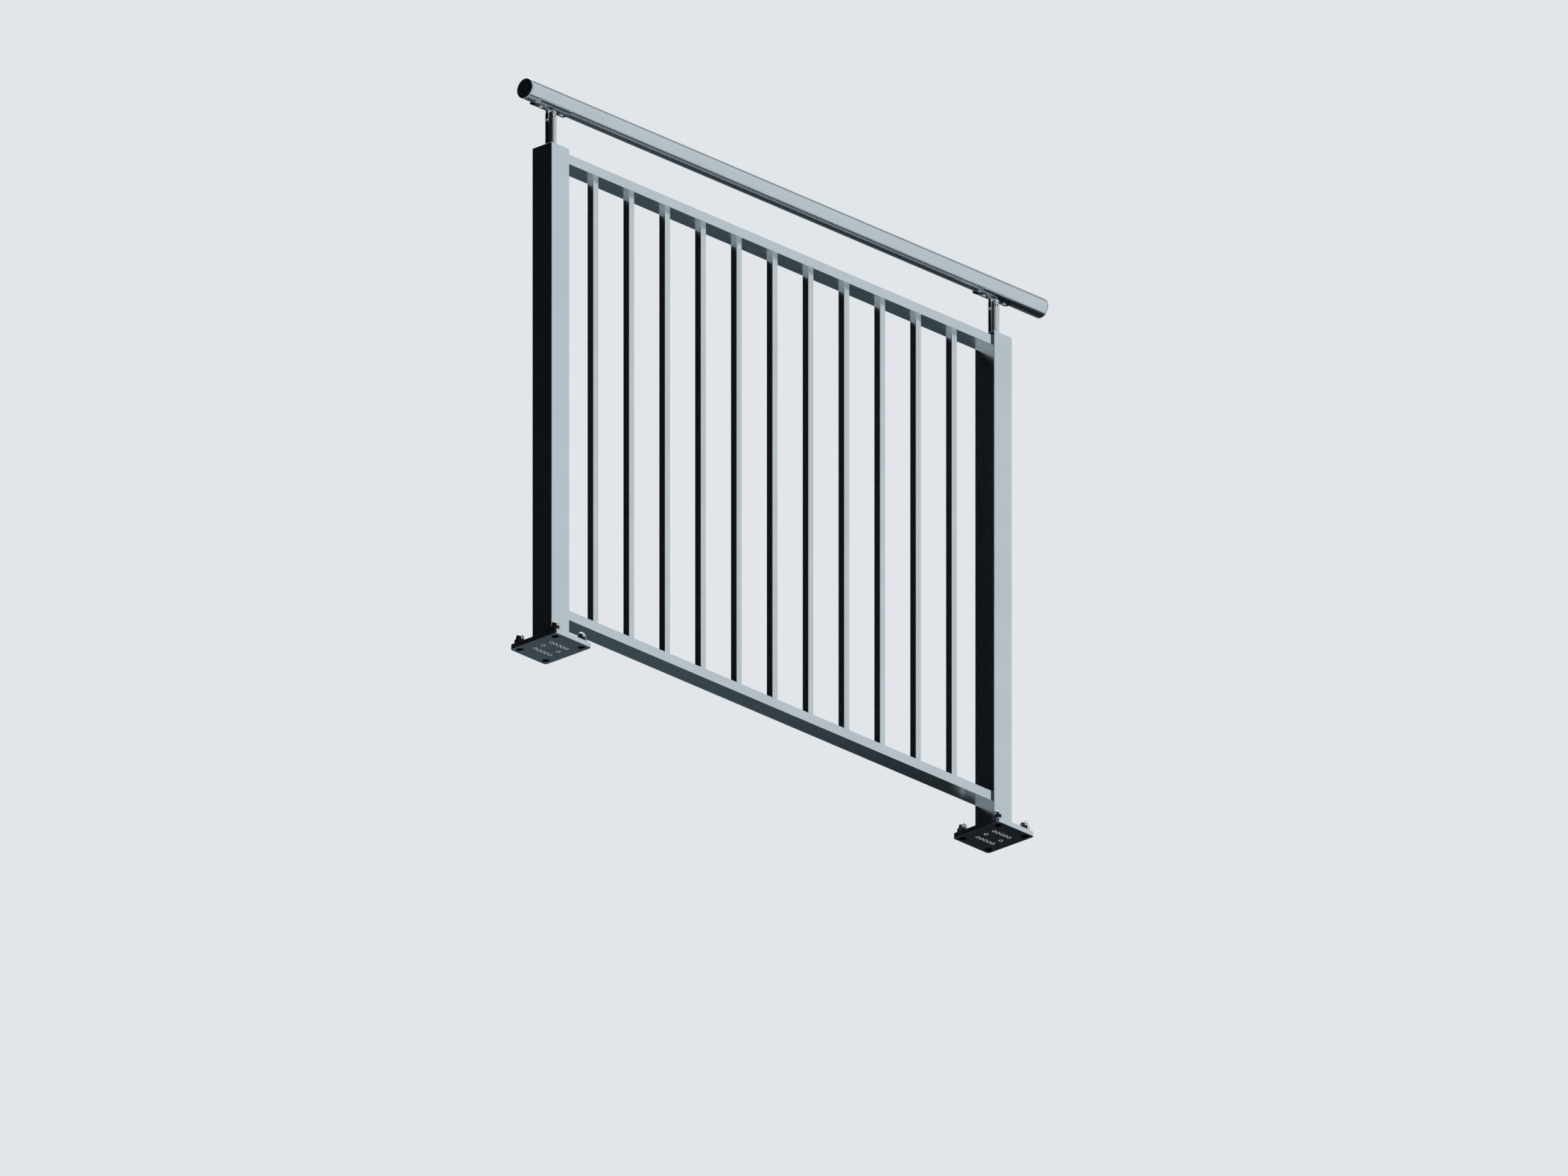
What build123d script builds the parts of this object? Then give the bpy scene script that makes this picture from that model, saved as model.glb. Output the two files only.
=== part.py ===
from build123d import *
import os
from math import sqrt

# Balustrade panel: two posts on base plates, two rails with vertical balusters between them,
# and a round handrail carried on two stems with levelling hinges.
# Millimetres, +Z up. The origin is the middle of the left base plate's underside, and +X runs
# along the panel to the right post.

# Small screws, threads and domes repeat or stay hidden, so they are drawn with flats
screw_flat_count = 8
thread_flat_count = 12
dome_flat_count = 12

# Panel layout
post_spacing = 1235.0
baluster_count = 11
cap_top_height = 1032.0
top_rail_drop = 8.0
bottom_rail_clearance = 62.5
left_overhang = 73.0
right_overhang = 132.5

# Base plate
plate_width = 100.0
plate_depth = 120.0
plate_thickness = 10.0
plate_corner = 6.0
anchor_spacing_x = 72.0
anchor_spacing_y = 92.0
anchor_hole = 14.0

# Post extrusion with its screw ports
post_size = 50.0
post_wall = 2.5
post_corner = 1.5
port_bore = 4.2
port_wall = 1.6
port_cover = 1.7
port_pitch = 10.3
ports_per_row = 5
port_mouth = 1.2

# Base screws, countersunk
base_screw_head = 9.6
base_screw_grip = 20.0
base_screw_sink = 0.2
base_screw_play = 0.6

# Domed anchor nuts: each dome rises in steps, as shares of its radius with their slopes in degrees
nut_across_flats = 19.0
nut_hex_height = 10.0
nut_dome = 17.0
nut_dome_start = 13.5
nut_dome_steps = [(0.5, 15), (0.3, 41.6), (0.18, 65.8)]
nut_bore = 12.0
nut_bore_depth = 15.0

# Post cap and its plug
cap_thickness = 3.0
cap_plug_depth = 40.0
cap_plug_play = 0.1

# Rail extrusion
rail_width = 40.0
rail_height = 20.0
rail_corner = 0.8
rail_wall = 2.0
rail_web = 3.0
rail_slot_wall = 1.6

# Strips that close the rails' slots
strip_play = 0.05
strip_face = 1.5
strip_leg = 1.2
strip_leg_height = 6.0

# Balusters
baluster_size = 15.0
baluster_play = 0.4
baluster_wall = 1.5
baluster_edge_break = 0.6
baluster_top_gap = 1.5

# Rail spigots: bars driven into the rails' ends and through windows in the posts
spigot_length = 32.0
spigot_side_play = 0.3
spigot_lift = 0.5
window_play = 0.1

# Handrail and its end caps
handrail_diameter = 40.0
handrail_wall = 2.0
end_cap_thickness = 4.0
end_cap_plug_length = 14.0
end_cap_plug_play = 0.1
end_cap_rib = 4.0

# Saddle under the handrail
saddle_length = 82.0
saddle_thickness = 4.0
saddle_wrap_angle = 90.0
saddle_screw_spacing = 56.0
saddle_screw_shank = 5.0
saddle_screw_play = 0.6
saddle_screw_head = 8.6
saddle_screw_head_steps = [(0.37, 8), (0.23, 38), (0.19, 60)]
saddle_screw_socket = 3.0
saddle_screw_socket_depth = 2.0
saddle_screw_length = 12.0

# Fork stem, lug and hinge bolt
stem_rise = 64.0
stem_diameter = 22.0
stem_thread = 12.0
stem_thread_length = 34.0
lug_drop = 14.0
lug_thickness = 6.0
lug_side_play = 0.25
lug_tip_play = 0.5
hinge_thread = 6.0
hinge_play = 0.6
hinge_head = 10.0
hinge_head_height = 4.0
hinge_counterbore_play = 2.4
hinge_counterbore_depth = 4.5
hinge_socket = 4.0
hinge_socket_depth = 2.4
hinge_tip_gap = 1.5

# Heights and places that follow
post_xs = {"left": 0.0, "right": post_spacing}
inward = {"left": 1, "right": -1}
post_end = cap_top_height - cap_thickness
clear_span = post_spacing - post_size
baluster_gap = (clear_span - baluster_count * baluster_size) / (baluster_count + 1)
baluster_pitch = baluster_gap + baluster_size
span_start = post_size / 2
baluster_xs = [
    span_start + baluster_gap + baluster_size / 2 + i * baluster_pitch
    for i in range(baluster_count)
]
top_rail_underside = cap_top_height - top_rail_drop - rail_height
bottom_rail_underside = bottom_rail_clearance
channel_height = rail_height - rail_web
slot_width = baluster_size + 2 * baluster_play
port_block = port_bore + 2 * port_wall
port_row_x = port_pitch * (ports_per_row - 1) / 2
port_row_y = post_size / 2 - port_cover - port_bore / 2
spigot_reach = post_size / 2 - port_row_x + port_block / 2
hinge_height = cap_top_height + stem_rise
saddle_bottom = hinge_height + lug_drop
saddle_outer_radius = handrail_diameter / 2 + saddle_thickness
handrail_axis_height = saddle_bottom + saddle_outer_radius
handrail_start = -left_overhang
handrail_end = post_spacing + right_overhang


def save(piece, name):
    """Labels one finished piece and writes its file."""
    piece.part.label = name
    export_step(piece.part, f"parts/{name}.step")


def upright_plane(x, z):
    """Level plane at a height on a post's axis."""
    return Plane(origin=(x, 0, z))


def side_view_plane(x, z):
    """Plane across the panel's thickness, seen from the front."""
    return Plane(origin=(x, 0, z), x_dir=(1, 0, 0), z_dir=(0, -1, 0))


def along_plane(x, z, direction=1):
    """Plane across the panel, facing along it, with its own Y pointing up."""
    return Plane(origin=(x, 0, z), x_dir=(0, direction, 0), z_dir=(direction, 0, 0))


def thread_outline(across_flats, mode=Mode.ADD):
    """Flat-sided outline of a thread, of its bolt's head, or of the hole it runs through."""
    RegularPolygon(across_flats / 2, thread_flat_count, major_radius=False, mode=mode)


# Screw ports: two rows along the post's front and back walls, and one on each side wall


def row_ports():
    """Centres of the ports in the front and back rows, with the way each mouth faces."""
    xs = [port_pitch * i - port_row_x for i in range(ports_per_row)]
    return [(x, side * port_row_y, 0, -side) for side in (-1, 1) for x in xs]


def side_ports():
    """Centres of the single ports, with the way each mouth faces."""
    return [(side * port_row_x, 0, -side, 0) for side in (-1, 1)]


def port_centres():
    """Centres of all the ports, measured from the post's axis."""
    return [(x, y) for x, y, mouth_x, mouth_y in row_ports() + side_ports()]


def screw_outlines(across_flats, mode=Mode.ADD):
    """One flat-sided outline at every port, with a flat towards each wall of the post."""
    with Locations(*port_centres()):
        RegularPolygon(
            across_flats / 2,
            screw_flat_count,
            major_radius=False,
            rotation=180 / screw_flat_count,
            mode=mode,
        )


# Base plate: drilled and countersunk from below for the base screws


def base_plate(side):
    sink = base_screw_head + 2 * base_screw_sink
    with BuildPart() as plate:
        with BuildSketch(upright_plane(post_xs[side], 0)):
            RectangleRounded(plate_width, plate_depth, plate_corner)
            with GridLocations(anchor_spacing_x, anchor_spacing_y, 2, 2):
                Circle(anchor_hole / 2, mode=Mode.SUBTRACT)
            screw_outlines(port_bore + base_screw_play, mode=Mode.SUBTRACT)
        extrude(amount=plate_thickness)
        with BuildSketch(upright_plane(post_xs[side], 0)) as sinks:
            screw_outlines(sink)
        extrude(sinks.sketch, amount=(sink - port_bore) / 2, taper=45, mode=Mode.SUBTRACT)
    save(plate, f"{side}_base_plate")


# Base screws: flat countersunk heads just inside the plates, shanks up in the posts' ports


def base_screws():
    head_taper = (base_screw_head - port_bore) / 2
    shank = plate_thickness - base_screw_sink + base_screw_grip
    with BuildPart() as group:
        for x in post_xs.values():
            with BuildSketch(upright_plane(x, base_screw_sink)) as heads:
                screw_outlines(base_screw_head)
            extrude(heads.sketch, amount=head_taper, taper=45)
            with BuildSketch(upright_plane(x, base_screw_sink)) as shanks:
                screw_outlines(port_bore)
            extrude(shanks.sketch, amount=shank)
    save(group, "base_screws")


# Anchor nuts: hexagon and dome in one piece, with a blind thread


def anchor_nut():
    with BuildPart() as nut:
        with BuildSketch():
            RegularPolygon(nut_across_flats / 2, 6, major_radius=False)
        extrude(amount=nut_hex_height)
        with BuildSketch():
            RegularPolygon(nut_dome / 2, dome_flat_count, major_radius=False)
        extrude(amount=nut_dome_start)
        for share, slope in nut_dome_steps:
            top = nut.faces().sort_by(Axis.Z)[-1]
            extrude(top, amount=share * nut_dome / 2, taper=slope)
        with BuildSketch():
            RegularPolygon(nut_bore / 2, dome_flat_count, major_radius=False)
        extrude(amount=nut_bore_depth, mode=Mode.SUBTRACT)
    return nut.part


def anchor_nuts():
    one_nut = anchor_nut()
    with BuildPart() as group:
        for x in post_xs.values():
            with Locations(upright_plane(x, plate_thickness)):
                with GridLocations(anchor_spacing_x, anchor_spacing_y, 2, 2):
                    add(one_nut)
    save(group, "anchor_nuts")


# Post: square tube with twelve open screw ports, and a window behind the end of each rail


def post(side):
    inside = post_size - 2 * post_wall
    slit = 2 * port_wall
    slit_shift = port_bore / 2 + port_wall / 2
    row_slits = [(x, y + slit_shift * my) for x, y, mx, my in row_ports()]
    side_slits = [(x + slit_shift * mx, y) for x, y, mx, my in side_ports()]
    x = post_xs[side]
    with BuildPart() as tube:
        with BuildSketch(upright_plane(x, plate_thickness)):
            RectangleRounded(post_size, post_size, post_corner)
            Rectangle(inside, inside, mode=Mode.SUBTRACT)
            with Locations(*port_centres()):
                Rectangle(port_block, port_block)
            RectangleRounded(post_size, post_size, post_corner, mode=Mode.INTERSECT)
            screw_outlines(port_bore, mode=Mode.SUBTRACT)
            with Locations(*row_slits):
                Rectangle(port_mouth, slit, mode=Mode.SUBTRACT)
            with Locations(*side_slits):
                Rectangle(slit, port_mouth, mode=Mode.SUBTRACT)
        extrude(amount=post_end - plate_thickness)
        for underside in (top_rail_underside, bottom_rail_underside):
            with BuildSketch(spigot_plane(side, underside)):
                Rectangle(spigot_width() + 2 * window_play, spigot_height() + 2 * window_play)
            extrude(amount=-spigot_reach, mode=Mode.SUBTRACT)
    save(tube, f"{side}_post")


# Rail spigots: each fills the rail's channel above the strip and reaches into the post


def spigot_width():
    return slot_width - 2 * spigot_side_play


def spigot_height():
    return channel_height - strip_leg_height - spigot_lift


def spigot_plane(side, underside):
    """Plane on the post's face that looks along the rail, on the spigot's middle."""
    face_x = post_xs[side] + inward[side] * post_size / 2
    middle = underside + channel_height - spigot_height() / 2
    return along_plane(face_x, middle, inward[side])


def rail_spigot(side, rail_name, underside):
    with BuildPart() as bar:
        with BuildSketch(spigot_plane(side, underside).offset(-spigot_reach)):
            Rectangle(spigot_width(), spigot_height())
        extrude(amount=spigot_reach + spigot_length)
    save(bar, f"{side}_{rail_name}_spigot")


# Post cap: flush plate and tapped plug in one piece, driven between the ports


def post_cap(side):
    plug_x = 2 * port_row_x - port_block - 2 * cap_plug_play
    plug_y = 2 * port_row_y - port_block - 2 * cap_plug_play
    x = post_xs[side]
    with BuildPart() as cap:
        with BuildSketch(upright_plane(x, post_end)):
            RectangleRounded(post_size, post_size, post_corner)
        extrude(amount=cap_thickness)
        with BuildSketch(upright_plane(x, post_end)):
            Rectangle(plug_x, plug_y)
        extrude(amount=-cap_plug_depth)
        with BuildSketch(upright_plane(x, cap_top_height)):
            thread_outline(stem_thread)
        extrude(amount=-(cap_thickness + cap_plug_depth), mode=Mode.SUBTRACT)
    save(cap, f"{side}_post_cap")


# Rails: one extrusion for both, with a slot along the underside between two hollow chambers


def rail_section():
    chamber_width = (rail_width - slot_width) / 2 - rail_wall - rail_slot_wall
    chamber_y = slot_width / 2 + rail_slot_wall + chamber_width / 2
    chamber_height = rail_height - rail_web - rail_wall
    low = (Align.CENTER, Align.MIN)
    RectangleRounded(rail_width, rail_height, rail_corner, align=low)
    Rectangle(slot_width, channel_height, align=low, mode=Mode.SUBTRACT)
    with Locations((-chamber_y, rail_wall), (chamber_y, rail_wall)):
        Rectangle(chamber_width, chamber_height, align=low, mode=Mode.SUBTRACT)


def rail(name, underside, punched):
    with BuildPart() as extrusion:
        with BuildSketch(along_plane(span_start, underside)):
            rail_section()
        extrude(amount=clear_span)
        if punched:
            with BuildSketch(upright_plane(0, underside + channel_height)):
                with Locations(*[(x, 0) for x in baluster_xs]):
                    Rectangle(slot_width, slot_width)
            extrude(amount=rail_web, mode=Mode.SUBTRACT)
    save(extrusion, name)


# Slot strips: shallow channels pressed up into the rails' slots


def strip(name, start, end, underside):
    width = slot_width - 2 * strip_play
    low = (Align.CENTER, Align.MIN)
    with BuildPart() as channel:
        with BuildSketch(along_plane(start, underside)):
            Rectangle(width, strip_leg_height, align=low)
            with Locations((0, strip_face)):
                Rectangle(width - 2 * strip_leg, strip_leg_height, align=low, mode=Mode.SUBTRACT)
        extrude(amount=end - start)
    save(channel, name)


def top_rail_strips():
    edges = [span_start]
    for x in baluster_xs:
        edges += [x - baluster_size / 2, x + baluster_size / 2]
    edges.append(span_start + clear_span)
    for number in range(baluster_count + 1):
        strip(
            f"top_rail_strip_{number + 1:02d}",
            edges[2 * number],
            edges[2 * number + 1],
            top_rail_underside,
        )


# Balusters: square tubes through the bottom rail's web, standing on the strip's two legs


def baluster(number, x):
    inside = baluster_size - 2 * baluster_wall
    bottom = bottom_rail_underside + strip_leg_height
    top = top_rail_underside + channel_height - baluster_top_gap
    with BuildPart() as tube:
        with BuildSketch(upright_plane(x, bottom)) as section:
            Rectangle(baluster_size, baluster_size)
            chamfer(section.vertices(), baluster_edge_break)
            Rectangle(inside, inside, mode=Mode.SUBTRACT)
        extrude(amount=top - bottom)
    save(tube, f"baluster_{number:02d}")


# Fork stem: turned bar with a milled slot and a rounded top, screwed into the post cap


def fork_stem(side):
    radius = stem_diameter / 2
    slot_width_y = lug_thickness + 2 * lug_side_play
    slot_bottom = hinge_height - radius - lug_tip_play
    bore_radius = (hinge_head + hinge_counterbore_play) / 2
    x = post_xs[side]
    with BuildPart() as stem:
        with BuildSketch(upright_plane(x, cap_top_height)):
            Circle(radius)
        extrude(amount=hinge_height + radius - cap_top_height)
        with BuildSketch(side_view_plane(x, hinge_height)):
            Circle(radius)
            with Locations((0, (cap_top_height - hinge_height) / 2)):
                Rectangle(stem_diameter, hinge_height - cap_top_height)
        extrude(amount=stem_diameter, both=True, mode=Mode.INTERSECT)
        with BuildSketch(along_plane(x, slot_bottom)):
            Rectangle(slot_width_y, stem_diameter * 2, align=(Align.CENTER, Align.MIN))
        extrude(amount=stem_diameter, both=True, mode=Mode.SUBTRACT)
        with BuildSketch(side_view_plane(x, hinge_height)):
            thread_outline(hinge_thread + hinge_play)
        extrude(amount=radius, mode=Mode.SUBTRACT)
        with BuildSketch(side_view_plane(x, hinge_height)):
            thread_outline(hinge_thread)
        extrude(amount=-radius, mode=Mode.SUBTRACT)
        with BuildSketch(side_view_plane(x, hinge_height).offset(hinge_seat())):
            Circle(bore_radius)
        extrude(amount=hinge_counterbore_depth, mode=Mode.SUBTRACT)
        with BuildSketch(upright_plane(x, cap_top_height)):
            thread_outline(stem_thread)
        extrude(amount=-stem_thread_length)
    save(stem, f"{side}_fork_stem")


def hinge_seat():
    """Distance from the stem's axis to the face under the hinge bolt's head."""
    return stem_diameter / 2 - hinge_counterbore_depth


# Hinge bolts: one through each fork and lug, its head sunk in the front


def hinge_bolts():
    length = hinge_seat() + stem_diameter / 2 - hinge_tip_gap
    with BuildPart() as pair:
        for x in post_xs.values():
            seat = side_view_plane(x, hinge_height).offset(hinge_seat())
            with BuildSketch(seat):
                thread_outline(hinge_head)
            extrude(amount=hinge_head_height)
            with BuildSketch(seat):
                thread_outline(hinge_thread)
            extrude(amount=-length)
            with BuildSketch(seat.offset(hinge_head_height)):
                RegularPolygon(hinge_socket / 2, 6, major_radius=False)
            extrude(amount=-hinge_socket_depth, mode=Mode.SUBTRACT)
    save(pair, "hinge_bolts")


# Saddle: curved plate with a lug that the fork holds


def saddle(side):
    x = post_xs[side]
    start = -90 - saddle_wrap_angle / 2
    inner_radius = handrail_diameter / 2
    lug_top = saddle_bottom + saddle_thickness / 2
    with BuildPart() as clamp:
        with BuildSketch(along_plane(x, handrail_axis_height)):
            with BuildLine():
                outer = CenterArc((0, 0), saddle_outer_radius, start, saddle_wrap_angle)
                inner = CenterArc((0, 0), inner_radius, start, saddle_wrap_angle)
                Line(outer @ 0, inner @ 0)
                Line(outer @ 1, inner @ 1)
            make_face()
        extrude(amount=saddle_length / 2, both=True)
        with BuildSketch(side_view_plane(x, hinge_height)):
            Circle(stem_diameter / 2)
            Rectangle(stem_diameter, lug_top - hinge_height, align=(Align.CENTER, Align.MIN))
            thread_outline(hinge_thread + hinge_play, mode=Mode.SUBTRACT)
        extrude(amount=lug_thickness / 2, both=True)
        with BuildSketch(upright_plane(x, saddle_bottom)):
            saddle_screw_outlines(saddle_screw_shank + saddle_screw_play)
        extrude(amount=saddle_outer_radius, mode=Mode.SUBTRACT)
    save(clamp, f"{side}_saddle")


def saddle_screw_outlines(across_flats):
    """The outline of both screws of one saddle."""
    with GridLocations(saddle_screw_spacing, 0, 2, 1):
        RegularPolygon(across_flats / 2, screw_flat_count, major_radius=False)


# Saddle screws: dome heads below each saddle, shanks up into the handrail's wall


def dome_headed_screw():
    """One screw with its seat at zero and its tip towards -Z."""
    with BuildPart() as made:
        with BuildSketch() as head:
            RegularPolygon(saddle_screw_head / 2, dome_flat_count, major_radius=False)
        top = head.sketch.faces()[0]
        for share, slope in saddle_screw_head_steps:
            extrude(top, amount=share * saddle_screw_head / 2, taper=slope)
            top = made.faces().sort_by(Axis.Z)[-1]
        with BuildSketch(Plane(top)):
            RegularPolygon(saddle_screw_socket / 2, 6, major_radius=False)
        extrude(amount=-saddle_screw_socket_depth, mode=Mode.SUBTRACT)
        with BuildSketch():
            RegularPolygon(saddle_screw_shank / 2, screw_flat_count, major_radius=False)
        extrude(amount=-saddle_screw_length)
    return made.part


def saddle_screws():
    one_screw = dome_headed_screw()
    with BuildPart() as group:
        for x in post_xs.values():
            with Locations(Plane(origin=(x, 0, saddle_bottom), x_dir=(1, 0, 0), z_dir=(0, 0, -1))):
                with GridLocations(saddle_screw_spacing, 0, 2, 1):
                    add(one_screw)
    save(group, "saddle_screws")


# Handrail: round tube with drilled screw holes, closed by an end cap at each end


def handrail_tube():
    start = handrail_start + end_cap_thickness
    end = handrail_end - end_cap_thickness
    with BuildPart() as tube:
        with BuildSketch(along_plane(start, handrail_axis_height)):
            Circle(handrail_diameter / 2)
            Circle(handrail_diameter / 2 - handrail_wall, mode=Mode.SUBTRACT)
        extrude(amount=end - start)
        for x in post_xs.values():
            with BuildSketch(upright_plane(x, saddle_bottom)):
                saddle_screw_outlines(saddle_screw_shank)
            extrude(amount=saddle_outer_radius, mode=Mode.SUBTRACT)
    save(tube, "handrail_tube")


def handrail_end_cap(side):
    rib_span = handrail_diameter - 2 * handrail_wall - 2 * end_cap_plug_play
    rib_reach = sqrt(rib_span**2 - end_cap_rib**2)
    face_x = handrail_start if side == "left" else handrail_end
    face = along_plane(face_x, handrail_axis_height, inward[side])
    with BuildPart() as cap:
        with BuildSketch(face):
            Circle(handrail_diameter / 2)
        extrude(amount=end_cap_thickness)
        with BuildSketch(face.offset(end_cap_thickness)):
            Rectangle(rib_reach, end_cap_rib)
            Rectangle(end_cap_rib, rib_reach)
        extrude(amount=end_cap_plug_length)
    save(cap, f"{side}_handrail_end_cap")


os.makedirs("parts", exist_ok=True)

for post_side in post_xs:
    base_plate(post_side)
    post(post_side)
    post_cap(post_side)
    rail_spigot(post_side, "top_rail", top_rail_underside)
    rail_spigot(post_side, "bottom_rail", bottom_rail_underside)
    fork_stem(post_side)
    saddle(post_side)
    handrail_end_cap(post_side)

base_screws()
anchor_nuts()
hinge_bolts()
saddle_screws()
rail("top_rail", top_rail_underside, punched=False)
rail("bottom_rail", bottom_rail_underside, punched=True)
top_rail_strips()
strip("bottom_rail_strip", span_start, span_start + clear_span, bottom_rail_underside)
for baluster_number, baluster_x in enumerate(baluster_xs, start=1):
    baluster(baluster_number, baluster_x)
handrail_tube()
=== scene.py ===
import bpy
import bmesh
from math import cos, pi, radians, sin
from mathutils import Matrix, Vector


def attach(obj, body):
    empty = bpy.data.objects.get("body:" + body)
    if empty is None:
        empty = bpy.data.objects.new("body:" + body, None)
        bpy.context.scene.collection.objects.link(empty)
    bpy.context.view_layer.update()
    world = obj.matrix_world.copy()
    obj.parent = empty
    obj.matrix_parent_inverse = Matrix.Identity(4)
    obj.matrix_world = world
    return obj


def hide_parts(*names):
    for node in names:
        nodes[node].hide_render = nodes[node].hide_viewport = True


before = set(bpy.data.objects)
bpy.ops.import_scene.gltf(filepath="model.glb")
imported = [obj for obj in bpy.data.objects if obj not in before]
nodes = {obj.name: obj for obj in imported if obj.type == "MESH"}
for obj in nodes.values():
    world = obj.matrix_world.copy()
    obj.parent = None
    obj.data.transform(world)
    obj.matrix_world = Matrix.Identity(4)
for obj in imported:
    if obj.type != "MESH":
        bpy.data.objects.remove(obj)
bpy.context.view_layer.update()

# The whole balustrade, seen from below and from its left front corner, as a maker's
# drawing shows it: without perspective, so that all upright edges stay upright.
view_azimuth = radians(-47.18)
view_elevation = radians(-23.28)
view_width = 2.973
view_middle_right = 0.4422
view_middle_up = 0.1152
camera_distance = 5
view_back = Vector((
    sin(view_azimuth) * cos(view_elevation),
    -cos(view_azimuth) * cos(view_elevation),
    sin(view_elevation),
))
view_right = Vector((cos(view_azimuth), sin(view_azimuth), 0))
view_up = view_back.cross(view_right)
view_middle = view_right * view_middle_right + view_up * view_middle_up
photo_camera = bpy.data.cameras.new("photo_camera")
photo_camera.type = "ORTHO"
photo_camera.ortho_scale = view_width
photo_camera.clip_start = 0.05
photo_camera.clip_end = 60
camera_object = bpy.data.objects.new("photo_camera", photo_camera)
camera_object.location = view_middle + view_back * camera_distance
camera_object.rotation_mode = "QUATERNION"
camera_object.rotation_quaternion = view_back.to_track_quat("Z", "Y")
bpy.context.scene.collection.objects.link(camera_object)
bpy.context.scene.camera = camera_object
bpy.context.scene.view_settings.view_transform = "Standard"

# The studio: a pale floor just under the base plates, which shows from above and lets the
# view from below through, and a pale surround that the metal mirrors softly.
floor_drop = 0.0012
floor_half = 12.0
floor_middle_x = 0.6
floor_bm = bmesh.new()
bmesh.ops.create_grid(floor_bm, x_segments=1, y_segments=1, size=floor_half)
bmesh.ops.translate(floor_bm, vec=(floor_middle_x, 0, -floor_drop), verts=floor_bm.verts)
floor_mesh = bpy.data.meshes.new("pale_floor")
floor_bm.to_mesh(floor_mesh)
floor_bm.free()
floor = bpy.data.objects.new("pale_floor", floor_mesh)
bpy.context.scene.collection.objects.link(floor)

floor_finish = bpy.data.materials.new("pale_floor")
floor_finish.use_nodes = True
floor_nodes = floor_finish.node_tree.nodes
floor_links = floor_finish.node_tree.links
floor_shader = floor_nodes["Principled BSDF"]
floor_shader.inputs["Base Color"].default_value = (0.76, 0.78, 0.80, 1)
floor_shader.inputs["Roughness"].default_value = 0.9
floor_shader.inputs["Specular IOR Level"].default_value = 0.0
floor_side = floor_nodes.new("ShaderNodeNewGeometry")
floor_clear = floor_nodes.new("ShaderNodeBsdfTransparent")
floor_mix = floor_nodes.new("ShaderNodeMixShader")
floor_links.new(floor_side.outputs["Backfacing"], floor_mix.inputs["Fac"])
floor_links.new(floor_shader.outputs["BSDF"], floor_mix.inputs[1])
floor_links.new(floor_clear.outputs["BSDF"], floor_mix.inputs[2])
floor_links.new(floor_mix.outputs["Shader"], floor_nodes["Material Output"].inputs["Surface"])
floor.data.materials.append(floor_finish)
floor.visible_glossy = False
floor.visible_diffuse = False
floor.visible_shadow = False

surround = bpy.data.worlds.new("pale_surround")
surround.use_nodes = True
bpy.context.scene.world = surround
sky_nodes = surround.node_tree.nodes
sky_links = surround.node_tree.links
sky_shown = sky_nodes["Background"]
sky_shown.inputs["Color"].default_value = (0.76, 0.79, 0.82, 1)
sky_shown.inputs["Strength"].default_value = 1.0
sky_light = sky_nodes.new("ShaderNodeBackground")
sky_light.inputs["Color"].default_value = (0.84, 0.87, 0.90, 1)
sky_light.inputs["Strength"].default_value = 0.95
sky_path = sky_nodes.new("ShaderNodeLightPath")
sky_either = sky_nodes.new("ShaderNodeMath")
sky_either.operation = "MAXIMUM"
sky_any = sky_nodes.new("ShaderNodeMath")
sky_any.operation = "MAXIMUM"
sky_mix = sky_nodes.new("ShaderNodeMixShader")
sky_links.new(sky_path.outputs["Is Camera Ray"], sky_either.inputs[0])
sky_links.new(sky_path.outputs["Is Glossy Ray"], sky_either.inputs[1])
sky_links.new(sky_either.outputs[0], sky_any.inputs[0])
sky_links.new(sky_path.outputs["Is Transmission Ray"], sky_any.inputs[1])
sky_links.new(sky_any.outputs[0], sky_mix.inputs["Fac"])
sky_links.new(sky_light.outputs["Background"], sky_mix.inputs[1])
sky_links.new(sky_shown.outputs["Background"], sky_mix.inputs[2])
sky_links.new(sky_mix.outputs["Shader"], sky_nodes["World Output"].inputs["Surface"])


def soft_lamp(name, place, aim, width, height, watts):
    """A rectangular studio light at a place, turned towards the point it lights."""
    lamp = bpy.data.lights.new(name, "AREA")
    lamp.shape = "RECTANGLE"
    lamp.size = width
    lamp.size_y = height
    lamp.energy = watts
    lamp_object = bpy.data.objects.new(name, lamp)
    lamp_object.location = place
    lamp_object.rotation_mode = "QUATERNION"
    lamp_object.rotation_quaternion = (Vector(place) - Vector(aim)).to_track_quat("Z", "Y")
    bpy.context.scene.collection.objects.link(lamp_object)


panel_middle = (0.62, 0, 0.55)
soft_lamp("front_softbox", (1.0, -3.0, 4.2), panel_middle, 2.4, 2.4, 25)
soft_lamp("overhead_softbox", (0.6, 0.8, 3.8), panel_middle, 3.0, 2.0, 30)

# The cards: matt dark boards round the studio, unseen themselves, that give the satin
# metal something dark to mirror, as in any studio where railings are pictured.
near_black = (0.012, 0.016, 0.018)
dark_slate = (0.050, 0.065, 0.075)
mid_slate = (0.085, 0.110, 0.125)


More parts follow.
